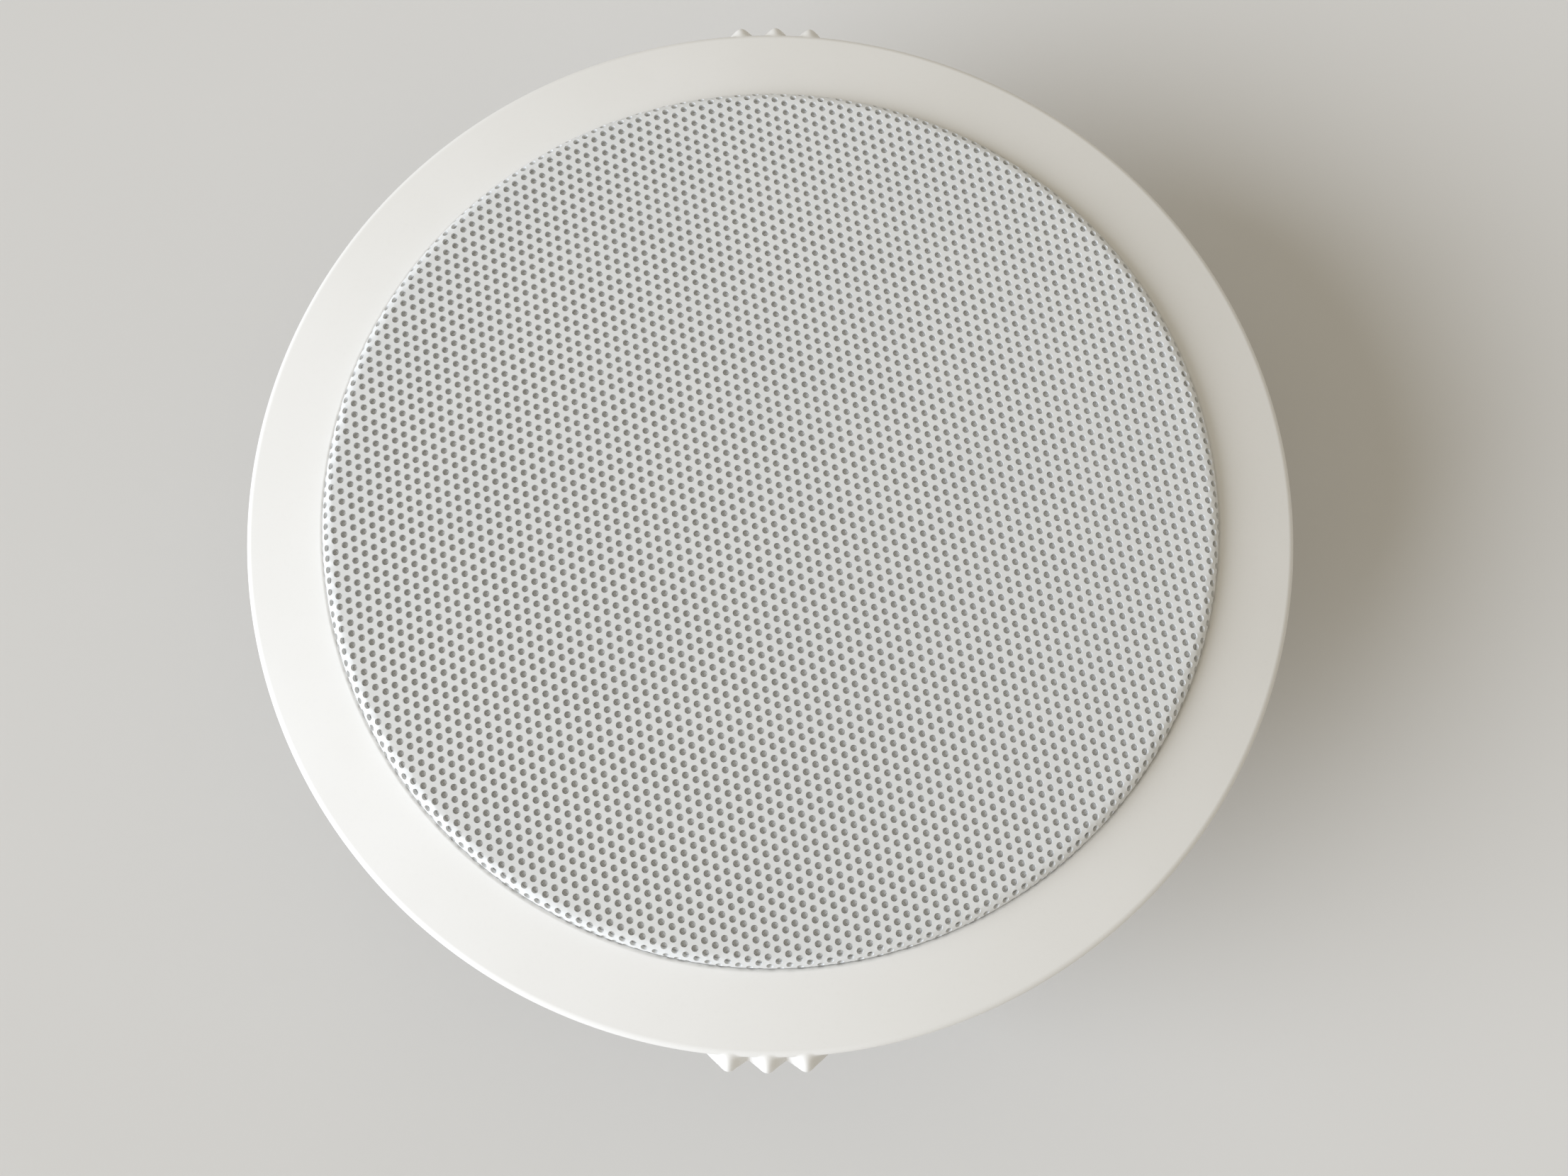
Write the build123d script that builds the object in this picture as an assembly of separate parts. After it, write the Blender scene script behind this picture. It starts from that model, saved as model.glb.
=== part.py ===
from build123d import *
import os
from math import ceil, cos, degrees, hypot, radians, sin, tan

os.makedirs("parts", exist_ok=True)

# An in-ceiling loudspeaker, modelled with its front up. The face of the ceiling is z = 0, +z points into the
# room, and everything below z = 0 sits in the ceiling void. All sizes are in millimetres.

# Clearances
running_gap = 0.3
moulding_fit = 0.4
glue_line = 0.05
shaft_fit = 0.08

# Driver: voice coil and magnet
coil_bore_d = 25.5
former_wall = 0.25
winding_wall = 0.6
winding_height = 10.0
former_tail = 0.5
air_gap = 0.4
magnet_d = 84.0
magnet_bore_d = 36.0
magnet_height = 15.0
plate_step = 3.0
top_plate_height = 5.0
back_plate_height = 5.0
plate_bevel = 1.0

# Driver: pressed basket
basket_d = 166.0
basket_sheet = 1.2
basket_depth = 39.4
basket_flange_width = 11.6
basket_throat_height = 9.6
basket_throat_taper = 4.0
basket_floor_inset = 0.5
basket_floor_hole_margin = 4.0
basket_foot_taper = 2.5
spider_ledge_width = 9.0
spider_ledge_height = 9.0
basket_band_height = 8.0
window_count = 4
window_arc = 62.0
window_margin = 1.0
window_sill = 0.5

# Driver: moving parts
gasket_width = 4.2
gasket_height = 1.8
gasket_screw_gap = 0.4
surround_sheet = 0.6
roll_radius = 4.6
roll_steps = 6
surround_lip_width = 2.6
surround_drop = 5.0
cone_sheet = 0.8
cone_neck_height = 2.5
cone_neck_rise = 7.0
dust_cap_d = 46.0
dust_cap_height = 8.0
dust_cap_sheet = 0.6
dust_cap_steps = 5
spider_sheet = 0.5
spider_wave_count = 4
spider_wave_height = 2.4
spider_lip_width = 3.0

# Driver: terminals and leads
strip_width = 22.0
strip_height = 12.5
strip_sheet = 1.5
strip_lift = 0.5
tab_spacing = 12.0
tab_width = 4.8
tab_sheet = 0.8
tab_length = 8.0
tab_foot = 5.5
rivet_d = 2.6
rivet_head_d = 4.4
rivet_head_height = 0.9
lead_d = 1.0
lead_edge_inset = 24.0
lead_sag = 2.0

# Screws
driver_screw_count = 4
driver_screw_edge = 4.2
driver_screw_d = 3.4
driver_screw_length = 9.0
driver_screw_head_d = 6.8
driver_screw_head_height = 2.2
clamp_screw_d = 4.0
clamp_screw_head_d = 8.0
clamp_screw_head_height = 2.4
clamp_screw_tail = 3.0
drive_width = 1.0
drive_depth = 1.2

# Mounting frame
frame_plate = 2.4
frame_wall = 2.4
frame_flange_gap = 2.6
collar_length = 8.0
opening_skirt = 4.0
boss_d = 7.0
stiffener_depth = 5.0
stiffener_wall = 2.0

# Clamps
clamp_count = 3
clamp_first_angle = 90.0
clamp_swing = 100.0
clamp_travel = 22.0
tower_wall = 2.2
tower_offset = 3.2
tower_floor = 2.4
tower_side = 8.0
tower_open_side = 6.0
tower_stop = 2.6
dog_hub_d = 10.0
dog_hub_height = 14.0
dog_hub_gap = 0.6
dog_arm_length = 23.0
dog_arm_width = 8.0
dog_arm_height = 6.0
dog_toe_length = 11.0
dog_toe_height = 3.0
dog_tooth = 1.2
clip_d = 9.0
clip_height = 1.0

# Front bezel
bezel_width = 18.6
bezel_wall = 2.4
rim_height = 7.0
rim_rounding = 2.0
lip_height = 10.6
lip_rounding = 0.8
grille_seat_depth = 2.6
grille_seat_width = 3.0
grille_seat_wall = 1.8

# Grip ribs on the rim
rib_sides = (90.0, -90.0)
rib_count = 3
rib_pitch = 8.3
rib_height = 4.5
rib_half_width = 5.4
rib_nose = 1.5
rib_nose_slant = 23.0
rib_ridge = 1.5
rib_ridge_drop = 1.1
rib_ridge_fall = 4.0
rib_flank_slope = 42.0

# Bayonet between bezel and frame
bayonet_count = 4
bayonet_first_angle = 45.0
lug_arc = 10.0
lug_inset = 2.0
lug_post = 2.0
lug_reach = 2.6
lug_height = 1.2
keeper_post = 2.0
keeper_height = 1.2
keeper_stop_arc = 1.2
keeper_play_arc = 0.4
bayonet_side_gap = 0.6

# Grille
grille_inset = 1.0
grille_sheet = 0.8
grille_height = 8.2
grille_crown = 2.1
grille_shoulder = 3.0
crown_steps = 4
shoulder_steps = 4
hole_width = 9.4
hole_pitch = 16.6
hole_row_angle = -22.4
hole_field_margin = 7.5

# Cloth lining of the grille
cloth_sheet = 0.4
cloth_margin = 1.0

# Values worked out from the sizes above: voice coil and magnet, radially
former_in_r = coil_bore_d / 2
former_out_r = former_in_r + former_wall
winding_r = former_out_r + winding_wall
pole_r = former_in_r - air_gap
gap_r = winding_r + air_gap
magnet_r = magnet_d / 2
plate_r = magnet_r - plate_step

# Basket and moving parts, radially
basket_r = basket_d / 2
basket_throat_r = basket_r - basket_flange_width
basket_waist_r = basket_throat_r - basket_throat_taper
basket_floor_r = plate_r - basket_floor_inset
basket_hole_r = gap_r + basket_floor_hole_margin
ledge_in_r = basket_floor_r + basket_foot_taper
ledge_out_r = ledge_in_r + spider_ledge_width
driver_screw_r = basket_r - driver_screw_edge
gasket_out_r = driver_screw_r - driver_screw_head_d / 2 - gasket_screw_gap
gasket_in_r = gasket_out_r - gasket_width
roll_centre_r = gasket_in_r - roll_radius
cone_lip_r = roll_centre_r - roll_radius
cone_edge_r = cone_lip_r - surround_lip_width
cone_neck_r = former_out_r + glue_line
lead_cone_r = cone_edge_r - lead_edge_inset

# Frame, clamps and bezel, radially
opening_r = basket_throat_r + basket_sheet + moulding_fit
dog_hub_r = dog_hub_d / 2
tower_in_r = basket_r + tower_offset
clamp_r = tower_in_r + tower_wall + dog_hub_gap + dog_hub_r
collar_in_r = clamp_r + dog_hub_r + dog_hub_gap
collar_r = collar_in_r + frame_wall
grille_r = collar_r - grille_inset
lip_r = grille_r + moulding_fit
bezel_r = lip_r + bezel_width
rim_in_r = bezel_r - bezel_wall
flange_r = rim_in_r - frame_flange_gap
lug_out_r = flange_r - lug_inset
lug_post_r = lug_out_r - lug_post
lug_tip_r = lug_post_r - lug_reach
keeper_lip_r = lug_post_r - bayonet_side_gap
keeper_post_r = lug_tip_r - bayonet_side_gap
keeper_in_r = keeper_post_r - keeper_post

# Heights
basket_top_z = frame_plate + basket_sheet
basket_low_z = frame_plate - basket_depth
basket_floor_z = basket_low_z + basket_sheet
ledge_z = basket_low_z + spider_ledge_height
band_z = ledge_z + basket_band_height
throat_z = basket_top_z - basket_throat_height
top_plate_low_z = basket_low_z - top_plate_height
magnet_low_z = top_plate_low_z - magnet_height
yoke_low_z = magnet_low_z - back_plate_height
winding_low_z = basket_low_z - top_plate_height / 2 - winding_height / 2
cone_lip_z = basket_top_z - surround_drop
cone_neck_z = ledge_z + cone_neck_rise
cone_slope = (cone_lip_z - cone_neck_z) / (cone_edge_r - cone_neck_r)
dust_cap_z = cone_neck_z + (dust_cap_d / 2 - cone_neck_r) * cone_slope + glue_line
tower_low_z = -collar_length - clamp_travel - dog_toe_height - dog_hub_height - tower_floor - 2 * running_gap
tower_floor_z = tower_low_z + tower_floor
dog_low_z = tower_floor_z + running_gap
clip_top_z = tower_low_z - running_gap
lug_low_z = frame_plate + running_gap
keeper_low_z = lug_low_z + lug_height + running_gap
keeper_top_z = keeper_low_z + keeper_height
grille_seat_z = lip_height - grille_seat_depth
bezel_slope = (lip_height - rim_height) / bezel_width

# Terminal strip on the basket's band, under the window at +x
strip_x = ledge_out_r + basket_sheet + glue_line
strip_low_z = ledge_z + strip_lift
tab_z = strip_low_z + strip_height / 3
rivet_z = ledge_z + basket_band_height / 2
lead_z = band_z + lead_d + lead_sag


def turned(outline, arc=360.0, start=0.0):
    """Turn a closed (r, z) outline about the speaker's axis."""
    face = make_face(Polyline(*[(r, 0, z) for r, z in outline], close=True))
    return Rot(0, 0, start) * revolve(face, Axis.Z, arc)


def ring(in_r, out_r, low_z, high_z):
    return turned([(in_r, low_z), (out_r, low_z), (out_r, high_z), (in_r, high_z)])


def rod(radius, low_z, high_z):
    return Pos(0, 0, (low_z + high_z) / 2) * Cylinder(radius, high_z - low_z)


def block(x_range, y_range, z_range):
    spans = (x_range, y_range, z_range)
    centre = [(low + high) / 2 for low, high in spans]
    return Pos(*centre) * Box(*[high - low for low, high in spans])


def around(shape, count, first=0.0):
    return [Rot(0, 0, first + 360 / count * i) * shape for i in range(count)]


def arc_point(centre_r, centre_z, radius, turn):
    """The (r, z) point of an arc at a turn in degrees, counted from straight outwards."""
    return (centre_r + radius * cos(radians(turn)), centre_z + radius * sin(radians(turn)))


def sheet_outline(path, thickness):
    """Close an (r, z) path into the outline of a sheet that lies on its left side."""
    points = [Vector(r, z) for r, z in path]
    steps = [(b - a).normalized() for a, b in zip(points, points[1:])]
    sides = [Vector(-step.Y, step.X) for step in steps]
    moved = []
    for i, point in enumerate(points):
        before = sides[max(i - 1, 0)]
        after = sides[min(i, len(sides) - 1)]
        mitre = (before + after) / (1 + before.dot(after))
        moved.append(point + mitre * thickness)
    return [(point.X, point.Y) for point in points + moved[::-1]]


def bezel_top_z(radius):
    return lip_height - (radius - lip_r) * bezel_slope


def bezel_under_z(radius):
    return bezel_top_z(radius) - bezel_wall


def grip_rib():
    """One grip rib: a foot with a blunt rounded nose, under a rounded ridge that falls away from the rim."""
    slant = radians(rib_nose_slant)
    root_r = bezel_r - bezel_wall / 2
    tip_r = bezel_r + rib_height + rib_nose * (1 / cos(slant) - 1)
    side_r = tip_r - rib_half_width * tan(slant)
    foot = [
        (root_r, -rib_half_width),
        (side_r, -rib_half_width),
        (tip_r, 0),
        (side_r, rib_half_width),
        (root_r, rib_half_width),
    ]
    outline = FilletPolyline(*foot, radius=[0, 0, rib_nose, 0, 0], close=True)
    bar = Pos(0, 0, running_gap) * extrude(make_face(outline), rim_height, dir=(0, 0, 1))
    flank = radians(rib_flank_slope)
    ridge_z = rim_height - rib_ridge_drop + rib_ridge * (1 / cos(flank) - 1)
    eaves_half_width = ridge_z / tan(flank)
    gable = [(root_r, -eaves_half_width, 0), (root_r, 0, ridge_z), (root_r, eaves_half_width, 0)]
    section = FilletPolyline(*gable, radius=[0, rib_ridge, 0], close=True)
    ridge = Vector(tip_r - root_r, 0, -rib_ridge_fall)
    return bar & extrude(make_face(section), ridge.length, dir=ridge.normalized())


def front_bezel():
    """The moulded ring: sloping face, rim, grille seat, grip ribs and the bayonet lugs behind it."""
    seat_wall_r = lip_r + bezel_wall
    corners = [
        (bezel_r, running_gap),
        (bezel_r, rim_height),
        (lip_r, lip_height),
        (lip_r, grille_seat_z),
        (lip_r - grille_seat_width, grille_seat_z),
        (lip_r - grille_seat_width, grille_seat_z - grille_seat_wall),
        (seat_wall_r, grille_seat_z - grille_seat_wall),
        (seat_wall_r, bezel_under_z(seat_wall_r)),
        (rim_in_r, bezel_under_z(rim_in_r)),
        (rim_in_r, running_gap),
    ]
    rounding = [0, rim_rounding, lip_rounding] + [0] * (len(corners) - 3)
    section = FilletPolyline(*[(r, 0, z) for r, z in corners], radius=rounding, close=True)
    bezel = revolve(make_face(section), Axis.Z)
    rib_step = degrees(rib_pitch / bezel_r)
    for side in rib_sides:
        for i in range(rib_count):
            bezel += Rot(0, 0, side + (i - (rib_count - 1) / 2) * rib_step) * grip_rib()
    lug = [
        (lug_tip_r, lug_low_z),
        (lug_out_r, lug_low_z),
        (lug_out_r, bezel_under_z(lug_out_r) + bezel_wall / 2),
        (lug_post_r, bezel_under_z(lug_post_r) + bezel_wall / 2),
        (lug_post_r, lug_low_z + lug_height),
        (lug_tip_r, lug_low_z + lug_height),
    ]
    for lug_solid in around(turned(lug, lug_arc, -lug_arc / 2), bayonet_count, bayonet_first_angle):
        bezel += lug_solid
    return bezel


def crown_z(radius):
    """Height of the grille's crowned face, a shallow sphere."""
    return grille_seat_z + grille_height - grille_crown * (radius / grille_r) ** 2


def pan_profile(inset, foot_z=grille_seat_z):
    """Outer face of the pan from its axis to a foot, moved in by an inset."""
    side_r = grille_r - inset
    rounding = grille_shoulder - inset
    flat_r = side_r - rounding
    shoulder_z = crown_z(flat_r) - inset - rounding
    crown_radii = [flat_r * i / crown_steps for i in range(crown_steps)]
    turns = [90 - 90 / shoulder_steps * i for i in range(shoulder_steps + 1)]
    crown = [(r, crown_z(r) - inset) for r in crown_radii]
    shoulder = [arc_point(flat_r, shoulder_z, rounding, turn) for turn in turns]
    return [*crown, *shoulder, (side_r, foot_z)]


def hole_centres():
    """Staggered rows of holes, as in perforated sheet, within the flat part of the face."""
    field_r = grille_r - hole_field_margin - hole_width / 2
    row_height = hole_pitch * sin(radians(60))
    reach = ceil(field_r / row_height) + 1
    centres = []
    for row in range(-reach, reach + 1):
        for i in range(-2 * reach, 2 * reach + 1):
            centre = ((i + row % 2 / 2) * hole_pitch, row * row_height)
            if hypot(*centre) <= field_r:
                centres.append(centre)
    return centres


def grille():
    """The perforated steel pan, with the hole rows coarser than the real sheet's."""
    pan = turned(pan_profile(0) + pan_profile(grille_sheet)[::-1])
    hole = RegularPolygon(hole_width / 2, 6, major_radius=False)
    field = Sketch() + [Pos(*centre) * hole for centre in hole_centres()]
    punch = Pos(0, 0, grille_seat_z) * extrude(field, 2 * grille_height, dir=(0, 0, 1))
    return pan - Rot(0, 0, hole_row_angle) * punch


def grille_cloth():
    """The thin cloth glued inside the pan, which hides the driver and keeps dust off it."""
    foot_z = grille_seat_z + cloth_margin
    front_inset = grille_sheet + glue_line
    front = pan_profile(front_inset, foot_z)
    back = pan_profile(front_inset + cloth_sheet, foot_z)
    return turned(front + back[::-1])


def clamp_place(angle):
    return Rot(0, 0, angle) * Pos(clamp_r, 0, 0)


def clamp_angles():
    return [clamp_first_angle + 360 / clamp_count * i for i in range(clamp_count)]


def clamp_tower():
    """Channel round a clamp screw, on the screw's own axis: back wall, side wall, stop and floor."""
    back = tower_in_r - clamp_r
    front = collar_in_r - clamp_r
    heights = (tower_low_z, frame_plate / 2)
    stop_top = dog_arm_width / 2 + moulding_fit
    tower = block((back, back + tower_wall), (-tower_side, tower_open_side), heights)
    tower += block((back, front), (-tower_side, tower_wall - tower_side), heights)
    tower += block((front - tower_stop, front), (-tower_side, -stop_top), heights)
    tower += block((back, front), (-tower_side, tower_open_side), (tower_low_z, tower_floor_z))
    return tower


def bayonet_keeper():
    """Hook on the frame that holds a bezel lug down, closed at one end by a stop."""
    arc = lug_arc + 2 * keeper_play_arc
    root_z = frame_plate / 2
    hook = [
        (keeper_in_r, root_z),
        (keeper_post_r, root_z),
        (keeper_post_r, keeper_low_z),
        (keeper_lip_r, keeper_low_z),
        (keeper_lip_r, keeper_top_z),
        (keeper_in_r, keeper_top_z),
    ]
    stop = [
        (keeper_in_r, root_z),
        (keeper_lip_r, root_z),
        (keeper_lip_r, keeper_top_z),
        (keeper_in_r, keeper_top_z),
    ]
    start = -arc / 2
    return turned(hook, arc, start) + turned(stop, keeper_stop_arc, start - keeper_stop_arc)


def mounting_frame():
    """The moulded ring in the ceiling: flange, collar, driver seat, clamp towers and bayonet keepers."""
    plate = [
        (opening_r, -opening_skirt),
        (opening_r + frame_wall, -opening_skirt),
        (opening_r + frame_wall, 0),
        (collar_in_r, 0),
        (collar_in_r, -collar_length),
        (collar_r, -collar_length),
        (collar_r, 0),
        (flange_r, 0),
        (flange_r, frame_plate),
        (opening_r, frame_plate),
    ]
    frame = turned(plate)
    screw_first = 180 / driver_screw_count
    boss = Pos(driver_screw_r, 0, 0) * rod(boss_d / 2, -driver_screw_length, frame_plate / 2)
    web_length = (driver_screw_r, collar_in_r + frame_wall / 2)
    web_width = (-stiffener_wall / 2, stiffener_wall / 2)
    boss += block(web_length, web_width, (-stiffener_depth, frame_plate / 2))
    for boss_solid in around(boss, driver_screw_count, screw_first):
        frame += boss_solid
    for angle in clamp_angles():
        frame += clamp_place(angle) * clamp_tower()
    for keeper in around(bayonet_keeper(), bayonet_count, bayonet_first_angle):
        frame += keeper
    pilot_r = driver_screw_d / 2 + glue_line
    pilot = Pos(driver_screw_r, 0, 0) * rod(pilot_r, -driver_screw_length, 2 * frame_plate)
    for hole in around(pilot, driver_screw_count, screw_first):
        frame -= hole
    clamp_hole = rod(clamp_screw_d / 2 + shaft_fit, 2 * tower_low_z, 2 * frame_plate)
    for angle in clamp_angles():
        frame -= clamp_place(angle) * clamp_hole
    return frame


def driver_basket():
    """The pressed steel basket: flange, throat, legs between the windows, spider ledge and floor."""
    path = [
        (basket_r, basket_top_z),
        (basket_throat_r, basket_top_z),
        (basket_waist_r, throat_z),
        (ledge_out_r, band_z),
        (ledge_out_r, ledge_z),
        (ledge_in_r, ledge_z),
        (basket_floor_r, basket_floor_z),
        (basket_hole_r, basket_floor_z),
    ]
    basket = turned(sheet_outline(path, basket_sheet))
    window_low_z = band_z - window_sill
    window_high_z = throat_z - window_margin
    window = [
        (basket_floor_r, window_low_z),
        (basket_r, window_low_z),
        (basket_r, window_high_z),
        (basket_floor_r, window_high_z),
    ]
    for opening in around(turned(window, window_arc, -window_arc / 2), window_count):
        basket -= opening
    screw_hole = Pos(driver_screw_r, 0, 0) * rod(driver_screw_d / 2 + moulding_fit, 0, 2 * basket_top_z)
    for hole in around(screw_hole, driver_screw_count, 180 / driver_screw_count):
        basket -= hole
    return basket - rivet_hole()


def gasket():
    low_z = basket_top_z + surround_sheet
    return ring(gasket_in_r, gasket_out_r, low_z, low_z + gasket_height)


def half_roll(radius, z):
    """Points of the surround's half roll, from its outer foot over the top to its inner foot."""
    turns = [180 / roll_steps * i for i in range(roll_steps + 1)]
    return [arc_point(roll_centre_r, z, radius, turn) for turn in turns]


def surround():
    """Half roll between the cone's edge and the basket flange, with its inner lip set lower."""
    top_z = basket_top_z + surround_sheet
    lip_top_z = cone_lip_z + surround_sheet
    inner_radius = roll_radius - surround_sheet
    outline = [
        (gasket_out_r, basket_top_z),
        (gasket_out_r, top_z),
        *half_roll(roll_radius, top_z),
        (cone_lip_r, lip_top_z),
        (cone_edge_r, lip_top_z),
        (cone_edge_r, cone_lip_z),
        (cone_lip_r + surround_sheet, cone_lip_z),
        *half_roll(inner_radius, top_z)[::-1],
        (roll_centre_r + inner_radius, basket_top_z),
    ]
    return turned(outline)


def cone():
    path = [
        (cone_lip_r, cone_lip_z),
        (cone_edge_r, cone_lip_z),
        (cone_neck_r, cone_neck_z),
        (cone_neck_r, cone_neck_z - cone_neck_height),
    ]
    return turned(sheet_outline(path, cone_sheet))


def dome(radius, height):
    """Points of a dome's half section, from its foot to its top on the axis."""
    sphere_r = (radius**2 + height**2) / (2 * height)
    steps = [radius * (1 - i / dust_cap_steps) for i in range(dust_cap_steps + 1)]
    return [(r, dust_cap_z + height - sphere_r + (sphere_r**2 - r**2) ** 0.5) for r in steps]


def dust_cap():
    cap_r = dust_cap_d / 2
    inner = dome(cap_r - dust_cap_sheet, dust_cap_height - dust_cap_sheet)
    return turned(dome(cap_r, dust_cap_height) + inner[::-1])


def spider():
    """Corrugated disc that centres the coil, glued to the former and to the basket's ledge."""
    first_r = cone_neck_r + spider_lip_width
    flank = (ledge_in_r - first_r) / (2 * spider_wave_count)
    flank_ends = range(2 * spider_wave_count + 1)
    waves = [(first_r + flank * i, ledge_z + spider_wave_height * (i % 2)) for i in flank_ends]
    low = [(cone_neck_r, ledge_z), *waves, (ledge_out_r - moulding_fit, ledge_z)]
    high = [(r, z + spider_sheet) for r, z in low]
    return turned(low + high[::-1])


def coil_former():
    return ring(former_in_r, former_out_r, winding_low_z - former_tail, cone_neck_z)


def coil_winding():
    return ring(former_out_r, winding_r, winding_low_z, winding_low_z + winding_height)


def top_plate():
    return ring(gap_r, plate_r, top_plate_low_z, basket_low_z)


def magnet():
    return ring(magnet_bore_d / 2, magnet_r, magnet_low_z, top_plate_low_z)


def yoke():
    """Back plate and pole, forged as one piece."""
    outline = [
        (0, yoke_low_z),
        (plate_r - plate_bevel, yoke_low_z),
        (plate_r, yoke_low_z + plate_bevel),
        (plate_r, magnet_low_z),
        (pole_r, magnet_low_z),
        (pole_r, basket_low_z),
        (0, basket_low_z),
    ]
    return turned(outline)


def along_x(radius, low_x, high_x, z):
    return Pos((low_x + high_x) / 2, 0, z) * Rot(0, 90, 0) * Cylinder(radius, high_x - low_x)


def rivet_hole():
    return along_x(rivet_d / 2 + glue_line, ledge_in_r, strip_x + 2 * strip_sheet, rivet_z)


def terminal_strip():
    half = strip_width / 2
    strip = block((strip_x, strip_x + strip_sheet), (-half, half), (strip_low_z, strip_low_z + strip_height))
    corners = strip.edges().filter_by(Axis.X)
    return fillet(corners, strip_sheet) - rivet_hole()


def terminal_tabs():
    """Two blade tabs for push-on connectors, each on a foot against the strip."""
    face_x = strip_x + strip_sheet
    half = tab_width / 2
    foot_z = (tab_z - tab_foot / 2, tab_z + tab_foot / 2)
    blade_z = (tab_z - tab_sheet / 2, tab_z + tab_sheet / 2)
    tab = block((face_x, face_x + tab_sheet), (-half, half), foot_z)
    blade = block((face_x, face_x + tab_length), (-half, half), blade_z)
    nose = blade.faces().sort_by(Axis.X)[-1].edges().filter_by(Axis.Z)
    tab += chamfer(nose, tab_width / 4)
    return Compound(children=[Pos(0, y, 0) * tab for y in (-tab_spacing / 2, tab_spacing / 2)])


def terminal_rivet():
    inner_x = ledge_out_r - rivet_head_height
    outer_x = strip_x + strip_sheet + rivet_head_height
    rivet = along_x(rivet_d / 2, inner_x, outer_x, rivet_z)
    rivet += along_x(rivet_head_d / 2, strip_x + strip_sheet, outer_x, rivet_z)
    return rivet + along_x(rivet_head_d / 2, inner_x, inner_x + rivet_head_height - basket_bow(), rivet_z)


def basket_bow():
    """How far the basket's round band bows away from a flat rivet head of the head's width."""
    half = rivet_head_d / 2
    return ledge_out_r - (ledge_out_r**2 - half**2) ** 0.5


def tinsel_leads():
    """Two slack leads through the window, from the strip to the back of the cone."""
    cone_back_z = cone_neck_z + (lead_cone_r - cone_neck_r) * cone_slope - cone_sheet
    end_z = cone_back_z - lead_d
    middle_x = (strip_x + lead_cone_r) / 2
    path = Polyline(
        (strip_x - running_gap, 0, lead_z),
        (middle_x, 0, lead_z - lead_sag),
        (lead_cone_r, 0, end_z),
    )
    section = Plane(path @ 0, z_dir=path % 0) * Circle(lead_d / 2)
    lead = sweep(section, path, transition=Transition.RIGHT)
    return Compound(children=[Pos(0, y, 0) * lead for y in (-tab_spacing / 2, tab_spacing / 2)])


def pan_screw(shank_d, head_d, head_height, seat_z, low_z):
    """A round-headed screw with a cross drive, on its own axis."""
    head = rod(head_d / 2, seat_z, seat_z + head_height)
    rim = head.faces().sort_by(Axis.Z)[-1].edges()
    screw = chamfer(rim, head_height / 3) + rod(shank_d / 2, low_z, seat_z + head_height / 2)
    drive_z = (seat_z + head_height - drive_depth, seat_z + head_height)
    arm = (-head_d / 4, head_d / 4)
    slot = (-drive_width / 2, drive_width / 2)
    return screw - block(arm, slot, drive_z) - block(slot, arm, drive_z)


def driver_screws():
    screw = pan_screw(
        driver_screw_d,
        driver_screw_head_d,
        driver_screw_head_height,
        basket_top_z,
        frame_plate - driver_screw_length,
    )
    placed = Pos(driver_screw_r, 0, 0) * screw
    return Compound(children=around(placed, driver_screw_count, 180 / driver_screw_count))


def clamp_screw():
    low_z = clip_top_z - clip_height - clamp_screw_tail
    return pan_screw(clamp_screw_d, clamp_screw_head_d, clamp_screw_head_height, frame_plate, low_z)


def clamp_clip():
    return ring(clamp_screw_d / 2, clip_d / 2, clip_top_z - clip_height, clip_top_z)


def clamp_dog():
    """The swing-out arm that grips the back of the ceiling, folded in beside its tower."""
    hub_top_z = dog_low_z + dog_hub_height
    arm_low_z = hub_top_z - dog_arm_height
    toe_x = dog_arm_length - dog_toe_length
    toe_z = hub_top_z + dog_toe_height
    tooth_x = toe_x + dog_toe_length / 2
    side = [
        (0, arm_low_z),
        (dog_arm_length - dog_toe_height, arm_low_z),
        (dog_arm_length, arm_low_z + dog_toe_height),
        (dog_arm_length, toe_z),
        (tooth_x + dog_tooth, toe_z),
        (tooth_x, toe_z - dog_tooth),
        (tooth_x - dog_tooth, toe_z),
        (toe_x + dog_toe_height / 2, toe_z),
        (toe_x, hub_top_z),
        (0, hub_top_z),
    ]
    face = make_face(Polyline(*[(x, 0, z) for x, z in side], close=True))
    arm = extrude(face, dog_arm_width / 2, dir=(0, 1, 0), both=True)
    tip = arm.edges().filter_by(Axis.Z).sort_by(Axis.X)[-2:]
    arm = fillet(tip, dog_arm_width / 4)
    dog = arm + rod(dog_hub_r, dog_low_z, hub_top_z)
    dog -= rod(clamp_screw_d / 2 + shaft_fit, tower_low_z, frame_plate)
    return Rot(0, 0, clamp_swing) * dog


single_parts = {
    "front_bezel": front_bezel,
    "grille": grille,
    "grille_cloth": grille_cloth,
    "mounting_frame": mounting_frame,
    "driver_basket": driver_basket,
    "driver_gasket": gasket,
    "surround": surround,
    "cone": cone,
    "dust_cap": dust_cap,
    "spider": spider,
    "coil_former": coil_former,
    "coil_winding": coil_winding,
    "top_plate": top_plate,
    "magnet": magnet,
    "yoke": yoke,
    "terminal_strip": terminal_strip,
    "terminal_tabs": terminal_tabs,
    "terminal_rivet": terminal_rivet,
    "tinsel_leads": tinsel_leads,
    "driver_screws": driver_screws,
}
clamp_parts = {"clamp_screw": clamp_screw, "clamp_dog": clamp_dog, "clamp_clip": clamp_clip}

for name, build in single_parts.items():
    export_step(build(), f"parts/{name}.step")
for i, angle in enumerate(clamp_angles()):
    letter = chr(ord("a") + i)
    for name, build in clamp_parts.items():
        export_step(clamp_place(angle) * build(), f"parts/{name}_{letter}.step")
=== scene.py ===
import math

import bpy
import numpy as np
from mathutils import Matrix, Vector
from mathutils.geometry import delaunay_2d_cdt


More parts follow.
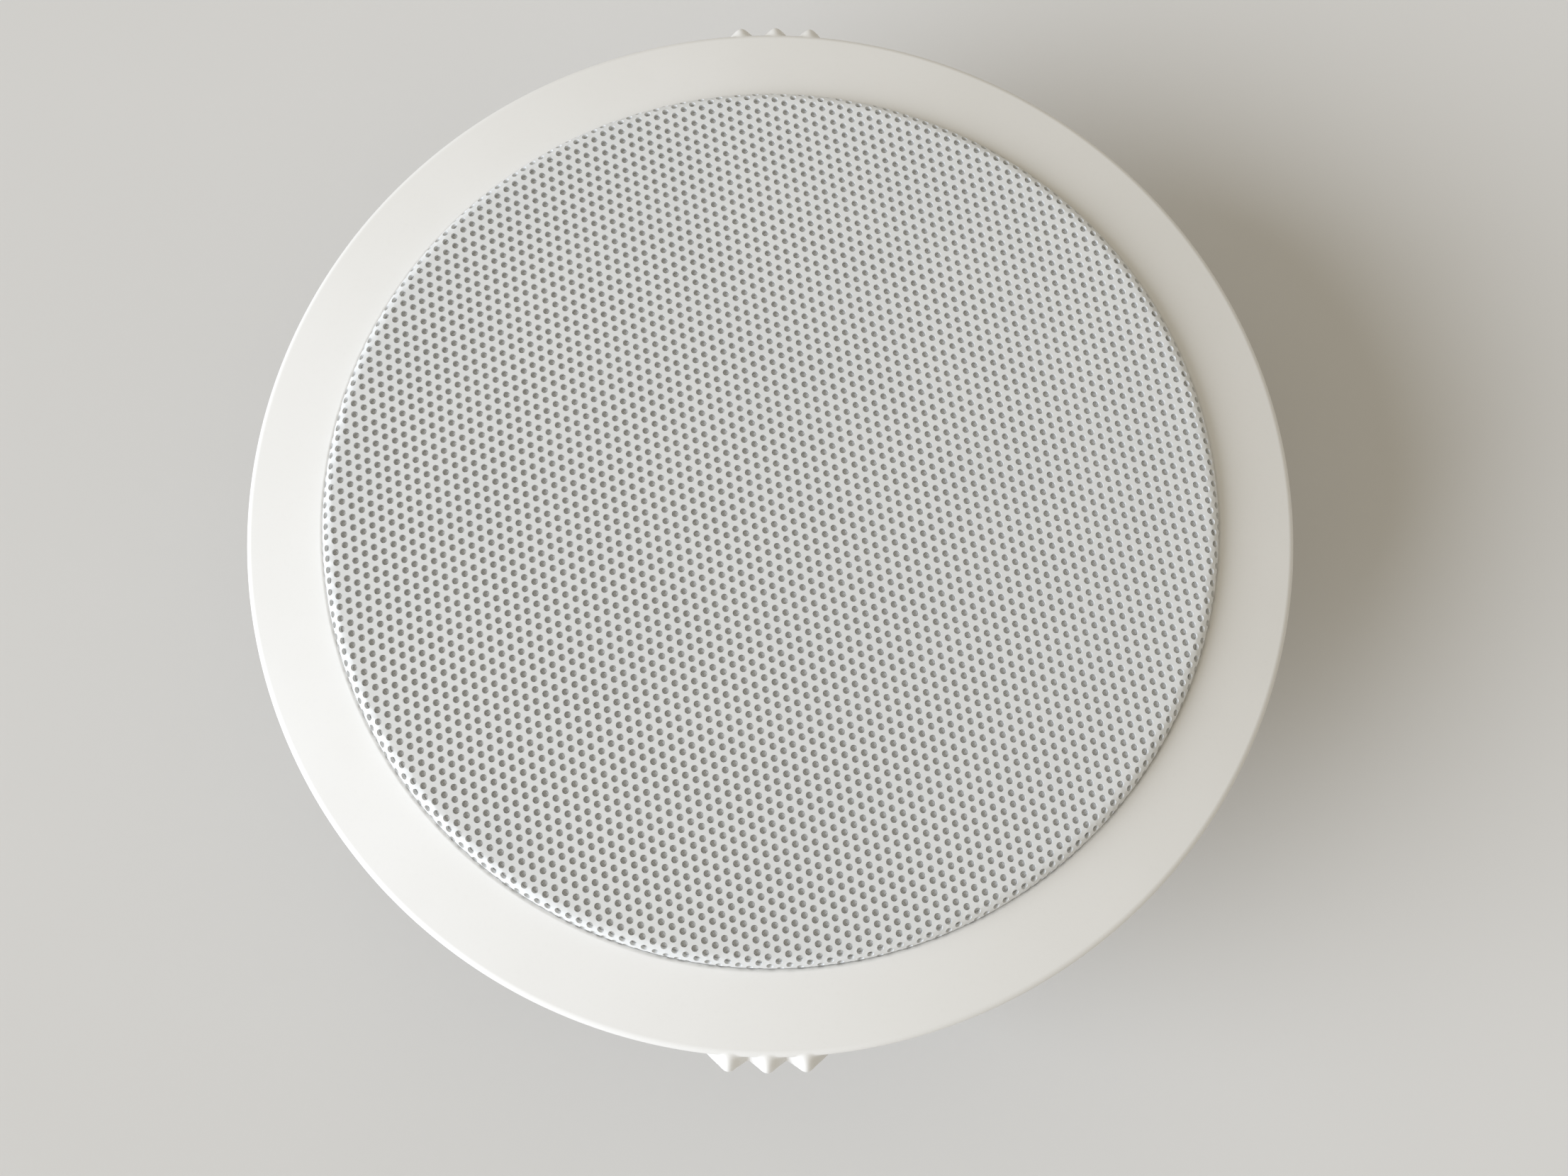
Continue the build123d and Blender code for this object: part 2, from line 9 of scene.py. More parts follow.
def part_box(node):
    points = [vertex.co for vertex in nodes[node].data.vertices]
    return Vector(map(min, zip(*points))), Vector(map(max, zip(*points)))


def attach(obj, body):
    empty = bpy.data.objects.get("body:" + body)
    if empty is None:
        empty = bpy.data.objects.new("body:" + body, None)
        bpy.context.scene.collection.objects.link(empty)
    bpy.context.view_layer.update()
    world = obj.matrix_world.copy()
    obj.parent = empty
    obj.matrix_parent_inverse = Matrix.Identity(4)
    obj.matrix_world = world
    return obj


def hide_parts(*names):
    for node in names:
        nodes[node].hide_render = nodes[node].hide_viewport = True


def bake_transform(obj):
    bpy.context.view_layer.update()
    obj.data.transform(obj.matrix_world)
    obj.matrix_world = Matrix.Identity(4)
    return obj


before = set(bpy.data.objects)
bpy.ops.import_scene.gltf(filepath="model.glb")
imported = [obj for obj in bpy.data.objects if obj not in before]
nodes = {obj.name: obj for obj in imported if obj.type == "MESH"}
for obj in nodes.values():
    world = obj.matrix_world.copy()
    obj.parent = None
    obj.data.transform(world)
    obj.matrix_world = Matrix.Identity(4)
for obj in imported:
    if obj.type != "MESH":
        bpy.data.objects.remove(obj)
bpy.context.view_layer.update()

# Sizes are in millimetres, in the frame's own axes: front up, ceiling face at z = 0
MM = 0.001


def node_box(name):
    low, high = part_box(name)
    return low / MM, high / MM


bezel_low, bezel_high = node_box("front_bezel")
grille_low, grille_high = node_box("grille")
surround_low, surround_high = node_box("surround")
cone_high = node_box("cone")[1]
spider_low, spider_high = node_box("spider")
lead_low, lead_high = node_box("tinsel_leads")
yoke_low = node_box("yoke")[0]

# Steps along an arc of 1 mm radius
round_steps = 6.0

# Perforated grille
grille_r = grille_high.x
grille_foot_z = grille_low.z
grille_height = grille_high.z - grille_low.z
grille_crown = 2.1
grille_sheet = 0.8
grille_shoulder = 3.0
grille_plain_foot = 1.6
grille_middle_r = 76.0
hole_pitch = 2.5
hole_width = 1.5
hole_sides = 12
hole_row_angle = math.radians(-22.4)
hole_row_pairing = 0.06
foot_steps = 360
weld_distance = 1e-6

# Front bezel
bezel_r = -bezel_low.x
rim_low_z = bezel_low.z
rim_height = 7.0
rim_rounding = 2.0
rim_wall_rows = 14
grille_gap = 0.15
lip_r = grille_r + grille_gap
lip_height = 10.6
lip_rounding = 0.8
bezel_wall = 2.4
seat_depth = 2.6
seat_width = 3.0
seat_wall = 1.8
moulded_edge = 0.35
bezel_step = 1.0
face_rows = (0.3, 0.6)

# Grip ribs on the rim
rib_sides = (90.0, -90.0)
rib_count = 3
rib_pitch = 8.3
rib_nose_inset = 0.8
rib_tip_r = bezel_high.y - rib_nose_inset
rib_half_width = 5.1
rib_side_slope = 9.0
rib_nose = 1.5
rib_foot_slope = 0.78
rib_slope_gain = 0.16
rib_root_depth = 1.8
rib_root_r = bezel_r - rib_root_depth
rib_root_z = 1.0
rib_bulge = 5.8
rib_rise = 5.9
rib_softness = 0.8
rib_column_step = 0.12
rib_zone_margin = 1.4
rib_zone_share = 0.9

# Bayonet lugs behind the bezel
lug_angles = (45.0, 135.0, 225.0, 315.0)
lug_arc = 10.0
lug_out_r = 113.0
lug_post = 2.0
lug_reach = 2.6
lug_low_z = 2.7
lug_height = 1.2
lug_chamfer = 1.0
lug_steps = 12

# Rubber surround
surround_sheet = 0.6
surround_lip = 2.6
roll_radius = 4.6
roll_steps = 19
lathe_steps = 240

# Spider
spider_neck_r = 13.05
spider_lip = 3.0
spider_ledge_r = 41.0
spider_sheet = 0.5
spider_waves = 4
wave_steps = 10
spider_sectors = 12
sector_steps = 14

# Tinsel leads
lead_ys = (-6.0, 6.0)
lead_r = 0.5
lead_zs = (-17.0, -19.0, -13.44)
lead_rows = 90
lead_columns = 18
lead_strands = 3
lead_twist_pitch = 3.0
lead_groove = 0.2

# Clamp screws
screw_r = 2.0
screw_head_z = 2.4
thread_pitch = 0.7
thread_depth = 0.42
thread_columns = 24
thread_rows = 8
thread_flank = 2.6
thread_crest = 0.25
face_tolerance = 0.1


# Mesh helpers

def smooth_max(a, b, softness):
    share = np.clip(0.5 + 0.5 * (a - b) / softness, 0, 1)
    return b + share * (a - b) + softness * share * (1 - share)


def smooth_min(a, b, softness):
    return -smooth_max(-a, -b, softness)


def rounded(corners, radii):
    """A closed (r, z) outline whose corners become arcs of the given radii."""
    outline = []
    for i, corner in enumerate(corners):
        here = Vector(corner)
        before = (Vector(corners[i - 1]) - here).normalized()
        after = (Vector(corners[(i + 1) % len(corners)]) - here).normalized()
        if radii[i] == 0:
            outline.append(tuple(here))
            continue
        steps = math.ceil(round_steps * math.sqrt(radii[i]))
        half_turn = before.angle(after) / 2
        reach = radii[i] / math.tan(half_turn)
        centre = here + (before + after).normalized() * radii[i] / math.sin(half_turn)
        start = (here + before * reach - centre).normalized()
        end = (here + after * reach - centre).normalized()
        outline += [tuple(centre + start.slerp(end, k / steps) * radii[i]) for k in range(steps + 1)]
    return outline


def polar_points(radius, angle, z):
    """Points from radii, angles and heights, which are numbers or grids that fit together."""
    return np.stack(np.broadcast_arrays(radius * np.cos(angle), radius * np.sin(angle), z), axis=-1)


def turned_points(outline, angles):
    """Points of an (r, z) outline at each angle, as a grid of columns by rows."""
    r, z = np.array(outline).T
    return polar_points(r, angles[:, None], z)


def grid_faces(columns, rows, closed=True):
    """Quads between neighbouring columns and rows; rows always close on themselves."""
    place = np.arange(columns * rows).reshape(columns, rows)
    here = place if closed else place[:-1]
    beside = np.roll(place, -1, axis=0) if closed else place[1:]
    quads = np.stack([here, beside, np.roll(beside, -1, axis=1), np.roll(here, -1, axis=1)], axis=-1)
    return quads.reshape(-1, 4).tolist()


def tube_faces(columns, rows):
    """Quads round a tube, with both of its ends closed."""
    place = np.arange(columns * rows).reshape(columns, rows)
    beside = np.roll(place, -1, axis=0)
    sides = np.stack([place[:, :-1], beside[:, :-1], beside[:, 1:], place[:, 1:]], axis=-1)
    return [*sides.reshape(-1, 4).tolist(), place[::-1, 0].tolist(), place[:, -1].tolist()]


def even_angles(steps):
    return np.linspace(0, 2 * math.pi, steps, endpoint=False)


def sector(outline, middle, arc, steps):
    """A closed piece of a turned ring between two angles in degrees."""
    angles = np.radians(np.linspace(middle - arc / 2, middle + arc / 2, steps))
    points = turned_points(outline, angles)
    rows = len(outline)
    faces = grid_faces(steps, rows, closed=False)
    faces.append(list(range(rows)))
    faces.append([(steps - 1) * rows + i for i in reversed(range(rows))])
    return points.reshape(-1, 3), faces


def joined(*shapes):
    """One list of points and faces from several."""
    points, faces = [], []
    for shape_points, shape_faces in shapes:
        start = len(points)
        points += np.reshape(shape_points, (-1, 3)).tolist()
        faces += [[start + i for i in face] for face in shape_faces]
    return points, faces


def new_piece(name, points, faces, finish):
    mesh = bpy.data.meshes.new(name)
    mesh.from_pydata((np.reshape(points, (-1, 3)) * MM).tolist(), [], faces)
    mesh.shade_smooth()
    mesh.materials.append(finish)
    piece = bpy.data.objects.new(name, mesh)
    bpy.context.scene.collection.objects.link(piece)
    return piece


def keep_flats_flat(piece, sharp_degrees=50):
    """Shade large flat faces flat and their narrow rounded edges smooth."""
    piece.data.set_sharp_from_angle(angle=math.radians(sharp_degrees))
    weighted = piece.modifiers.new("even shading", "WEIGHTED_NORMAL")
    weighted.keep_sharp = True


# Shader helpers and the effects that several finishes share

def new_group(name, inputs, outputs):
    """A shader group with named value inputs and outputs, and its two end nodes."""
    tree = bpy.data.node_groups.new(name, "ShaderNodeTree")
    for label, default in inputs.items():
        kind = "NodeSocketColor" if isinstance(default, tuple) else "NodeSocketFloat"
        socket = tree.interface.new_socket(label, in_out="INPUT", socket_type=kind)
        socket.default_value = default
    for label, kind in outputs.items():
        tree.interface.new_socket(label, in_out="OUTPUT", socket_type=kind)
    return tree, tree.nodes.new("NodeGroupInput"), tree.nodes.new("NodeGroupOutput")


def math_node(tree, operation, first, second=0.0):
    """A Math node whose inputs are sockets or numbers; gives its output socket."""
    node = tree.nodes.new("ShaderNodeMath")
    node.operation = operation
    for socket, value in zip(node.inputs, (first, second)):
        if isinstance(value, bpy.types.NodeSocket):
            tree.links.new(value, socket)
        else:
            socket.default_value = value
    return node.outputs[0]


def scaled_place(tree, size_mm):
    """The surface's own place in the frame, counted in steps of a size in millimetres."""
    place = tree.nodes.new("ShaderNodeTexCoord")
    scale = tree.nodes.new("ShaderNodeVectorMath")
    scale.operation = "SCALE"
    tree.links.new(place.outputs["Object"], scale.inputs[0])
    tree.links.new(math_node(tree, "DIVIDE", 1 / MM, size_mm), scale.inputs["Scale"])
    return scale.outputs[0]


def noise_node(tree, place, detail, roughness):
    noise = tree.nodes.new("ShaderNodeTexNoise")
    noise.inputs["Scale"].default_value = 1.0
    noise.inputs["Detail"].default_value = detail
    noise.inputs["Roughness"].default_value = roughness
    tree.links.new(place, noise.inputs["Vector"])
    return noise.outputs["Fac"]


def split_vector(tree, vector):
    """The x, y and z sockets of a vector socket."""
    split = tree.nodes.new("ShaderNodeSeparateXYZ")
    tree.links.new(vector, split.inputs[0])
    return split.outputs


def remap(tree, value, low, high, to_low=0.0, to_high=1.0):
    node = tree.nodes.new("ShaderNodeMapRange")
    node.interpolation_type = "SMOOTHSTEP"
    tree.links.new(value, node.inputs["Value"])
    for label, number in (("From Min", low), ("From Max", high), ("To Min", to_low), ("To Max", to_high)):
        node.inputs[label].default_value = number
    return node.outputs["Result"]


def mix_colours(tree, share, first, second):
    node = tree.nodes.new("ShaderNodeMix")
    node.data_type = "RGBA"
    tree.links.new(share, node.inputs["Factor"])
    for label, value in (("A", first), ("B", second)):
        socket = next(s for s in node.inputs if s.name == label and s.type == "RGBA")
        if isinstance(value, bpy.types.NodeSocket):
            tree.links.new(value, socket)
        else:
            socket.default_value = (*value, 1.0)
    return next(s for s in node.outputs if s.type == "RGBA")


def grain_group():
    """Even small bumps, as of spark-eroded moulds and sprayed paint."""
    tree, given, put = new_group("surface grain", {"Size": 0.4}, {"Height": "NodeSocketFloat"})
    place = scaled_place(tree, given.outputs["Size"])
    tree.links.new(noise_node(tree, place, detail=3.0, roughness=0.6), put.inputs["Height"])
    return tree


def drift_group():
    """Two shades of one colour that drift into each other over the surface."""
    tree, given, put = new_group(
        "colour drift",
        {"Size": 30.0, "Shade": (0.5, 0.5, 0.5, 1.0), "Other Shade": (0.4, 0.4, 0.4, 1.0)},
        {"Color": "NodeSocketColor", "Share": "NodeSocketFloat"},
    )
    place = scaled_place(tree, given.outputs["Size"])
    share = remap(tree, noise_node(tree, place, detail=4.0, roughness=0.55), low=0.3, high=0.7)
    colour = mix_colours(tree, share, given.outputs["Shade"], given.outputs["Other Shade"])
    tree.links.new(colour, put.inputs["Color"])
    tree.links.new(share, put.inputs["Share"])
    return tree


def dust_group():
    """A thin film of dust and lint on what faces up."""
    tree, given, put = new_group("settled dust", {"Size": 1.2, "Amount": 0.2}, {"Mask": "NodeSocketFloat"})
    place = scaled_place(tree, given.outputs["Size"])
    specks = remap(tree, noise_node(tree, place, detail=5.0, roughness=0.7), low=0.52, high=0.72)
    facing = tree.nodes.new("ShaderNodeNewGeometry")
    upward = remap(tree, split_vector(tree, facing.outputs["Normal"])["Z"], low=0.2, high=0.9)
    mask = math_node(tree, "MULTIPLY", math_node(tree, "MULTIPLY", specks, upward), given.outputs["Amount"])
    tree.links.new(mask, put.inputs["Mask"])
    return tree


def turned_group():
    """Fine rings about the speaker's axis, as a lathe leaves them."""
    tree, given, put = new_group("turned rings", {"Pitch": 0.3}, {"Height": "NodeSocketFloat"})
    place = split_vector(tree, scaled_place(tree, given.outputs["Pitch"]))
    square_x = math_node(tree, "POWER", place["X"], 2.0)
    square_y = math_node(tree, "POWER", place["Y"], 2.0)
    radius = math_node(tree, "SQRT", math_node(tree, "ADD", square_x, square_y))
    wave = math_node(tree, "SINE", math_node(tree, "MULTIPLY", radius, 2 * math.pi))
    tree.links.new(remap(tree, wave, low=-1.0, high=1.0), put.inputs["Height"])
    return tree


def wound_group():
    """Even rounds stacked along the speaker's axis, as wire on a coil."""
    tree, given, put = new_group("wound rounds", {"Pitch": 0.3}, {"Height": "NodeSocketFloat"})
    place = split_vector(tree, scaled_place(tree, given.outputs["Pitch"]))
    wave = math_node(tree, "SINE", math_node(tree, "MULTIPLY", place["Z"], math.pi))
    tree.links.new(math_node(tree, "ABSOLUTE", wave), put.inputs["Height"])
    return tree


def weave_group():
    """Plain weave of threads along x and y."""
    tree, given, put = new_group("plain weave", {"Thread": 0.6}, {"Height": "NodeSocketFloat"})
    place = split_vector(tree, scaled_place(tree, given.outputs["Thread"]))
    along = [math_node(tree, "SINE", math_node(tree, "MULTIPLY", place[i], math.pi)) for i in "XY"]
    crossing = math_node(tree, "MULTIPLY", *along)
    tree.links.new(remap(tree, crossing, low=-1.0, high=1.0), put.inputs["Height"])
    return tree


def fibre_group():
    """Felted short fibres, as in pressed paper pulp."""
    tree, given, put = new_group(
        "pressed fibres", {"Size": 0.8}, {"Height": "NodeSocketFloat", "Fleck": "NodeSocketFloat"}
    )
    place = scaled_place(tree, given.outputs["Size"])
    warped = tree.nodes.new("ShaderNodeTexNoise")
    warped.inputs["Scale"].default_value = 1.0
    warped.inputs["Detail"].default_value = 4.0
    warped.inputs["Distortion"].default_value = 2.5
    tree.links.new(place, warped.inputs["Vector"])
    tree.links.new(warped.outputs["Fac"], put.inputs["Height"])
    tree.links.new(remap(tree, warped.outputs["Fac"], low=0.58, high=0.75), put.inputs["Fleck"])
    return tree


GRAIN = grain_group()
DRIFT = drift_group()
DUST = dust_group()
TURNED = turned_group()
WOUND = wound_group()
WEAVE = weave_group()
FIBRE = fibre_group()

DUST_COLOUR = (0.62, 0.6, 0.56)
EDGE_SAMPLES = 6


def new_finish(name, roughness, metallic=0.0):
    """A material with its shader; the finish adds colour and relief."""
    material = bpy.data.materials.new(name)
    material.use_nodes = True
    shader = material.node_tree.nodes["Principled BSDF"]
    shader.inputs["Roughness"].default_value = roughness
    shader.inputs["Metallic"].default_value = metallic
    return material, material.node_tree, shader


def placed(tree, group, **values):
    node = tree.nodes.new("ShaderNodeGroup")
    node.node_tree = group
    for label, value in values.items():
        socket = node.inputs[label.replace("_", " ")]
        socket.default_value = (*value, 1.0) if isinstance(value, tuple) else value
    return node


def add_relief(tree, shader, height, depth_mm, edge_mm=0.0):
    """Fine relief over the surface, and a slight rounding of its edges."""
    bump = tree.nodes.new("ShaderNodeBump")
    bump.inputs["Distance"].default_value = depth_mm * MM
    tree.links.new(height, bump.inputs["Height"])
    tree.links.new(bump.outputs["Normal"], shader.inputs["Normal"])
    if edge_mm:
        edge = tree.nodes.new("ShaderNodeBevel")
        edge.samples = EDGE_SAMPLES
        edge.inputs["Radius"].default_value = edge_mm * MM
        tree.links.new(edge.outputs["Normal"], bump.inputs["Normal"])


def add_colour(tree, shader, shade, other_shade, size, dust=0.0):
    """Base colour that drifts between two shades, under some dust."""
    drift = placed(tree, DRIFT, Size=size, Shade=shade, Other_Shade=other_shade)
    colour = drift.outputs["Color"]
    if dust:
        film = placed(tree, DUST, Amount=dust)
        colour = mix_colours(tree, film.outputs["Mask"], colour, DUST_COLOUR)
    tree.links.new(colour, shader.inputs["Base Color"])
    return drift.outputs["Share"]


def vary_roughness(tree, shader, share, low, high):
    roughness = remap(tree, share, low=0.0, high=1.0, to_low=low, to_high=high)
    tree.links.new(roughness, shader.inputs["Roughness"])


def moulded_plastic(name, shade, other_shade, roughness, grain=0.3, depth=0.006, dust=0.0, edge=0.0):
    material, tree, shader = new_finish(name, roughness)
    share = add_colour(tree, shader, shade, other_shade, size=45.0, dust=dust)
    vary_roughness(tree, shader, share, roughness - 0.04, roughness + 0.05)
    add_relief(tree, shader, placed(tree, GRAIN, Size=grain).outputs["Height"], depth, edge)
    shader.inputs["Specular IOR Level"].default_value = 0.45
    return material


def painted_steel(name, shade, other_shade, roughness, peel=0.7, depth=0.012, dust=0.0, edge=0.0):
    material, tree, shader = new_finish(name, roughness)
    share = add_colour(tree, shader, shade, other_shade, size=25.0, dust=dust)
    vary_roughness(tree, shader, share, roughness - 0.05, roughness + 0.05)
    add_relief(tree, shader, placed(tree, GRAIN, Size=peel).outputs["Height"], depth, edge)
    return material


def pressed_paper(name, shade, fleck, roughness=0.85, size=0.9, depth=0.05):
    material, tree, shader = new_finish(name, roughness)
    fibres = placed(tree, FIBRE, Size=size)
    tree.links.new(mix_colours(tree, fibres.outputs["Fleck"], shade, fleck), shader.inputs["Base Color"])
    vary_roughness(tree, shader, fibres.outputs["Fleck"], roughness, roughness + 0.1)
    add_relief(tree, shader, fibres.outputs["Height"], depth)
    return material


def plated_metal(name, shade, other_shade, roughness, group=TURNED, pitch=0.35, depth=0.004, edge=0.25):
    material, tree, shader = new_finish(name, roughness, metallic=1.0)
    share = add_colour(tree, shader, shade, other_shade, size=9.0)
    vary_roughness(tree, shader, share, roughness - 0.06, roughness + 0.08)
    add_relief(tree, shader, placed(tree, group, Pitch=pitch).outputs["Height"], depth, edge)
    return material


def woven_cloth(name, shade, other_shade, roughness, thread, depth, metallic=0.0):
    material, tree, shader = new_finish(name, roughness, metallic)
    weave = placed(tree, WEAVE, Thread=thread)
    # The weave's low hollows take the darker other shade and its raised threads the lighter shade: painted
    # shade between the threads
    colour = mix_colours(tree, weave.outputs["Height"], other_shade, shade)
    tree.links.new(colour, shader.inputs["Base Color"])
    vary_roughness(tree, shader, weave.outputs["Height"], roughness + 0.08, roughness - 0.05)
    add_relief(tree, shader, weave.outputs["Height"], depth)
    return material


finishes = {
    "white_moulding": moulded_plastic(
        "white satin moulding", (0.83, 0.818, 0.795), (0.81, 0.798, 0.772), roughness=0.52, dust=0.05
    ),
    "white_steel": painted_steel(
        "white powder coat", (0.755, 0.76, 0.755), (0.73, 0.737, 0.735), roughness=0.5, peel=0.55, dust=0.06
    ),
    "lining_cloth": woven_cloth(
        "grille lining cloth",
        (0.66, 0.66, 0.65),
        (0.56, 0.56, 0.555),
        roughness=0.85,
        thread=0.35,
        depth=0.06,
    ),
    "frame_moulding": moulded_plastic(
        "white frame moulding",
        (0.76, 0.75, 0.725),
        (0.73, 0.72, 0.695),
        roughness=0.5,
        grain=0.5,
        depth=0.01,
        edge=0.5,
    ),
    "black_steel": painted_steel(
        "black basket paint", (0.022, 0.022, 0.024), (0.03, 0.03, 0.032), roughness=0.42, edge=0.6
    ),
    "gasket_fibre": pressed_paper("gasket fibre", (0.09, 0.08, 0.07), (0.2, 0.18, 0.15)),
    "surround_rubber": moulded_plastic(
        "surround rubber", (0.025, 0.025, 0.026), (0.04, 0.04, 0.04), roughness=0.6, grain=0.25, dust=0.25
    ),
    "cone_paper": pressed_paper("cone paper", (0.045, 0.045, 0.047), (0.1, 0.1, 0.1)),
    "dust_cap_paper": pressed_paper("dust cap paper", (0.04, 0.04, 0.042), (0.08, 0.08, 0.08), size=0.6),
    "spider_cloth": woven_cloth(
        "spider cloth", (0.5, 0.3, 0.11), (0.32, 0.18, 0.06), roughness=0.6, thread=0.55, depth=0.08
    ),
    "former_foil": plated_metal(
        "former foil", (0.78, 0.78, 0.8), (0.7, 0.7, 0.73), roughness=0.28, pitch=0.5
    ),
    "coil_wire": plated_metal(
        "enamelled coil wire",
        (0.6, 0.26, 0.1),
        (0.48, 0.2, 0.08),
        roughness=0.3,
        group=WOUND,
        pitch=0.32,
        depth=0.12,
    ),
    "plated_steel": plated_metal(
        "zinc plated steel", (0.6, 0.6, 0.61), (0.56, 0.57, 0.59), roughness=0.36, depth=0.008, edge=0.5
    ),
    "ferrite": painted_steel(
        "sintered ferrite",
        (0.055, 0.055, 0.06),
        (0.075, 0.075, 0.078),
        roughness=0.62,
        peel=0.5,
        depth=0.05,
        edge=0.8,
    ),
    "terminal_board": pressed_paper(
        "terminal board", (0.2, 0.1, 0.045), (0.3, 0.17, 0.08), roughness=0.5, size=0.5, depth=0.02
    ),
    "tinned_brass": plated_metal(
        "tin plate", (0.68, 0.64, 0.56), (0.6, 0.57, 0.5), roughness=0.32, pitch=0.9
    ),
    "braided_lead": woven_cloth(
        "braided copper",
        (0.62, 0.36, 0.2),
        (0.3, 0.15, 0.08),
        roughness=0.4,
        thread=0.28,
        depth=0.06,
        metallic=1.0,
    ),
    "screw_steel": plated_metal("zinc plated screws", (0.62, 0.62, 0.6), (0.54, 0.55, 0.57), roughness=0.33),
    "clamp_nylon": moulded_plastic(
        "black clamp nylon",
        (0.03, 0.03, 0.031),
        (0.04, 0.04, 0.041),
        roughness=0.5,
        grain=0.5,
        depth=0.012,
        edge=0.5,
    ),
}


# Front bezel

def bezel_angles():
    """Even steps round the bezel, with close ones across the grip ribs."""
    half_width = rib_pitch * (rib_count - 1) / 2 + rib_zone_margin * rib_half_width
    half_zone = math.degrees(half_width / bezel_r)
    close = [side + np.arange(-half_zone, half_zone, rib_column_step) for side in rib_sides]
    even = np.arange(-180, 180, bezel_step)
    away = [min(abs(angle - side) for side in rib_sides) > half_zone for angle in even]
    return np.radians(np.sort(np.concatenate([even[away], *close])))


def rib_reach(across, z):
    """How far from the axis one grip rib reaches, at a distance across it and a height."""
    rise = np.maximum((z - rib_root_z) / rib_rise, 0)
    ridge = rib_root_r + rib_bulge * (np.sqrt(np.maximum(1 - rise**2, 0)) - np.maximum(rise - 1, 0))
    slope = rib_foot_slope + rib_slope_gain * (z - rim_low_z)
    flank = np.minimum(ridge, rib_tip_r) - slope * (np.hypot(across, rib_nose) - rib_nose)
    side = bezel_r + (rib_half_width - across) * rib_side_slope
    return smooth_min(flank, side, rib_softness)


def ribbed_radius(radius, angles, z):
    """The rim's radius at each angle and height, with the grip ribs blended in."""
    inset = np.where(z < rim_low_z + moulded_edge, bezel_r - radius, 0)
    for side in rib_sides:
        for i in range(rib_count):
            middle = math.radians(side) + (i - (rib_count - 1) / 2) * rib_pitch / bezel_r
            across = np.abs(angles - middle) * bezel_r
            radius = smooth_max(radius, rib_reach(across, z) - inset, rib_softness)
    return radius


def bezel_outline():
    face_width = bezel_r - lip_r
    face_rise = lip_height - rim_height
    slope = face_rise / face_width
    rim_in_r = bezel_r - bezel_wall
    seat_r = lip_r - seat_width
    seat_z = lip_height - seat_depth
    seat_wall_r = lip_r + bezel_wall
    under_z = [lip_height - (r - lip_r) * slope - bezel_wall for r in (seat_wall_r, rim_in_r)]
    wall_zs = np.linspace(rim_low_z, rim_height - rim_rounding, rim_wall_rows + 2)[1:-1]
    face = [(bezel_r - face_width * t, rim_height + face_rise * t) for t in face_rows]
    corners = [
        ((bezel_r, rim_low_z), moulded_edge),
        *[((bezel_r, z), 0) for z in wall_zs],
        ((bezel_r, rim_height), rim_rounding),
        *[(point, 0) for point in face],
        ((lip_r, lip_height), lip_rounding),
        ((lip_r, seat_z), moulded_edge),
        ((seat_r, seat_z), moulded_edge),
        ((seat_r, seat_z - seat_wall), moulded_edge),
        ((seat_wall_r, seat_z - seat_wall), moulded_edge),
        ((seat_wall_r, under_z[0]), moulded_edge),
        ((rim_in_r, under_z[1]), moulded_edge),
        ((rim_in_r, rim_low_z), moulded_edge),
    ]
    return rounded([point for point, radius in corners], [radius for point, radius in corners])


def lug_outline():
    post_r = lug_out_r - lug_post
    tip_r = post_r - lug_reach
    high_z = rim_height
    corners = [
        (tip_r, lug_low_z),
        (lug_out_r, lug_low_z),
        (lug_out_r, high_z - lug_chamfer),
        (post_r, high_z),
        (post_r, lug_low_z + lug_height),
        (tip_r, lug_low_z + lug_height),
    ]
    return rounded(corners, [moulded_edge, moulded_edge, 0, 0, moulded_edge, moulded_edge])


def bezel_shape():
    angles = bezel_angles()
    outline = np.array(bezel_outline())
    r, z = outline.T
    radius = np.broadcast_to(r, (len(angles), len(r))).copy()
    on_rim = r > bezel_r - bezel_wall * rib_zone_share
    radius[:, on_rim] = ribbed_radius(radius[:, on_rim], angles[:, None], z[on_rim][None, :])
    ring = (polar_points(radius, angles[:, None], z), grid_faces(len(angles), len(outline)))
    lugs = [sector(lug_outline(), angle, lug_arc, lug_steps) for angle in lug_angles]
    return joined(ring, *lugs)


bezel = new_piece("bezel_moulding", *bezel_shape(), finishes["white_moulding"])
keep_flats_flat(bezel)
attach(bezel, "front")
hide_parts("front_bezel")


# Perforated grille

def pan_place(reach):
    """Where a point at a distance from the flat sheet's middle lies on the pan: r, z and the normal."""
    flat_r = grille_r - grille_shoulder
    top_z = grille_foot_z + grille_height
    slope = 2 * grille_crown / grille_r**2
    edge_z = top_z - grille_crown * (flat_r / grille_r) ** 2
    turn = np.clip((reach - flat_r) / grille_shoulder, 0, math.pi / 2)
    on_crown = np.minimum(reach, flat_r)
    down = np.maximum(reach - flat_r - grille_shoulder * math.pi / 2, 0)
    r = on_crown + grille_shoulder * np.sin(turn)
    crown_z = top_z - grille_crown * (on_crown / grille_r) ** 2
    z = np.where(reach <= flat_r, crown_z, edge_z - grille_shoulder * (1 - np.cos(turn)) - down)
    lean = np.where(reach <= flat_r, slope * on_crown, np.sin(turn))
    return r, z, lean, np.sqrt(1 - lean**2)


def sheet_reach():
    """Distance along the sheet from its middle to the foot of its side wall."""
    edge_z = grille_foot_z + grille_height - grille_crown * (1 - grille_shoulder / grille_r) ** 2
    side = edge_z - grille_shoulder - grille_foot_z
    return grille_r - grille_shoulder + grille_shoulder * math.pi / 2 + side


